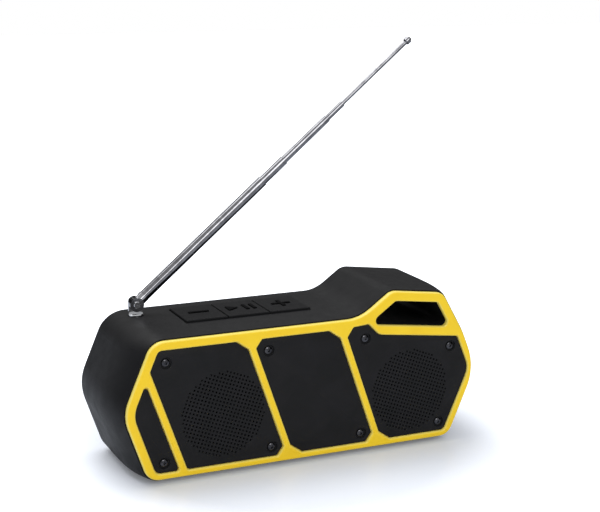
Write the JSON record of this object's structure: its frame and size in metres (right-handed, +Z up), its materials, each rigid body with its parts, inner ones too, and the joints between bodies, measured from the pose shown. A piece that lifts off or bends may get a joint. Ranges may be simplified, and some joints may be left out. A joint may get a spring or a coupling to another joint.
{
  "type": "portable radio",
  "caption": "Portable solar radio with a flared housing, framed loudspeaker grilles, a finger opening, top keys and a telescopic antenna.",
  "frame": {"origin": "on the ground under the middle of the body, midway between the bezel's front and the back wall", "axes": "+Z up, +Y towards the back, +X to the right as seen from the front"},
  "size_m": [0.2552, 0.0808, 0.2662],
  "materials": {
    "yellow_plastic": "satin yellow moulding",
    "housing": "fine matt black moulding",
    "panel": "matt black panel",
    "screw_steel": "polished screw heads",
    "key_plastic": "matt black key caps",
    "inner_plastic": "plain dark moulding",
    "antenna_chrome": "bright chrome plate",
    "elbow_black": "black coated metal",
    "zinc_steel": "zinc plated steel",
    "speaker_steel": "black pressed steel",
    "cone_paper": "coated paper cone",
    "ferrite": "dull ferrite",
    "copper_coil": "enamelled copper winding",
    "soft_rubber": "matt black rubber",
    "board_green": "green board lacquer",
    "socket_metal": "plated socket shell",
    "cell_wrap": "blue shrink wrap",
    "contact_nickel": "nickel plate",
    "solar_cells": "dark blue cells",
    "clear_window": "clear sheet"
  },
  "bodies": {
    "chassis": {"rear_shell": "housing", "front_baffle": "inner_plastic", "front_bezel": "yellow_plastic", "badge_plate": "panel", "left_grille": "panel", "centre_panel": "panel", "right_grille": "panel", "panel_screws": "screw_steel", "main_board": "board_green", "board_screws": "zinc_steel", "aux_jack": "inner_plastic", "charge_socket": "socket_metal", "card_slot": "socket_metal", "usb_a_socket": "socket_metal", "power_switch_body": "inner_plastic", "battery_tray": "inner_plastic", "battery_cell": "cell_wrap", "battery_contacts": "contact_nickel", "solar_board": "solar_cells", "solar_window": "clear_window", "key_board": "board_green", "key_board_screws": "zinc_steel", "key_switches": "inner_plastic", "rubber_feet": "soft_rubber", "speaker_screws": "zinc_steel", "left_speaker_basket": "speaker_steel", "left_speaker_surround": "soft_rubber", "left_speaker_top_plate": "zinc_steel", "left_speaker_magnet": "ferrite", "left_speaker_yoke": "zinc_steel", "right_speaker_basket": "speaker_steel", "right_speaker_surround": "soft_rubber", "right_speaker_top_plate": "zinc_steel", "right_speaker_magnet": "ferrite", "right_speaker_yoke": "zinc_steel"},
    "left_cone": {"left_speaker_cone": "cone_paper", "left_voice_coil": "copper_coil"},
    "right_cone": {"right_speaker_cone": "cone_paper", "right_voice_coil": "copper_coil"},
    "power_knob": {"power_switch_knob": "key_plastic"},
    "port_door": {"socket_door": "key_plastic"},
    "minus_button": {"minus_key": "key_plastic", "minus_plunger": "inner_plastic"},
    "play_button": {"play_key": "key_plastic", "play_plunger": "inner_plastic"},
    "plus_button": {"plus_key": "key_plastic", "plus_plunger": "inner_plastic"},
    "antenna_base": {"antenna_foot": "antenna_chrome", "antenna_nut": "zinc_steel", "antenna_pivot_pin": "antenna_chrome"},
    "antenna_arm": {"antenna_elbow": "elbow_black", "antenna_tube_1": "antenna_chrome"},
    "antenna_section_2": {"antenna_tube_2": "antenna_chrome"},
    "antenna_section_3": {"antenna_tube_3": "antenna_chrome"},
    "antenna_section_4": {"antenna_tube_4": "antenna_chrome"},
    "antenna_section_5": {"antenna_rod": "antenna_chrome", "antenna_tip": "antenna_chrome"}
  },
  "joints": [
    {"name": "left_cone_travel", "type": "slide", "parent": "chassis", "child": "left_cone", "axis": [0, 1, 0], "range_m": [-0.0012, 0.0012], "stiffness_N_per_m": 100},
    {"name": "right_cone_travel", "type": "slide", "parent": "chassis", "child": "right_cone", "axis": [0, 1, 0], "range_m": [-0.0012, 0.0012], "stiffness_N_per_m": 100},
    {"name": "power_slide", "type": "slide", "parent": "chassis", "child": "power_knob", "axis": [1, 0, 0], "range_m": [0, 0.003]},
    {"name": "port_door_hinge", "type": "hinge", "parent": "chassis", "child": "port_door", "pos_m": [0.0685, 0.039, 0.02295], "axis": [-1, 0, 0], "range_deg": [0, 90]},
    {"name": "minus_press", "type": "slide", "parent": "chassis", "child": "minus_button", "axis": [0, 0, -1], "range_m": [0, 0.0004], "stiffness_N_per_m": 200, "springref_m": -0.0004},
    {"name": "play_press", "type": "slide", "parent": "chassis", "child": "play_button", "axis": [0, 0, -1], "range_m": [0, 0.0004], "stiffness_N_per_m": 200, "springref_m": -0.0004},
    {"name": "plus_press", "type": "slide", "parent": "chassis", "child": "plus_button", "axis": [0, 0, -1], "range_m": [0, 0.0004], "stiffness_N_per_m": 200, "springref_m": -0.0004},
    {"name": "antenna_swivel", "type": "hinge", "parent": "chassis", "child": "antenna_base", "pos_m": [-0.0955, 0.017, 0.095], "axis": [0, 0, 1], "continuous": true},
    {"name": "antenna_tilt", "type": "hinge", "parent": "antenna_base", "child": "antenna_arm", "pos_m": [-0.0955, 0.017, 0.1019], "axis": [0, -1, 0], "range_deg": [-34.1, 49.9]},
    {"name": "section_2_slide", "type": "slide", "parent": "antenna_arm", "child": "antenna_section_2", "axis": [0.7649, 0, 0.6441], "range_m": [-0.0187, 0.0716]},
    {"name": "section_3_slide", "type": "slide", "parent": "antenna_section_2", "child": "antenna_section_3", "axis": [0.7649, 0, 0.6441], "range_m": [-0.039, 0.0508]},
    {"name": "section_4_slide", "type": "slide", "parent": "antenna_section_3", "child": "antenna_section_4", "axis": [0.7649, 0, 0.6441], "range_m": [-0.0133, 0.0749]},
    {"name": "section_5_slide", "type": "slide", "parent": "antenna_section_4", "child": "antenna_section_5", "axis": [0.7649, 0, 0.6441], "range_m": [-0.0588, 0.0279]}
  ]
}
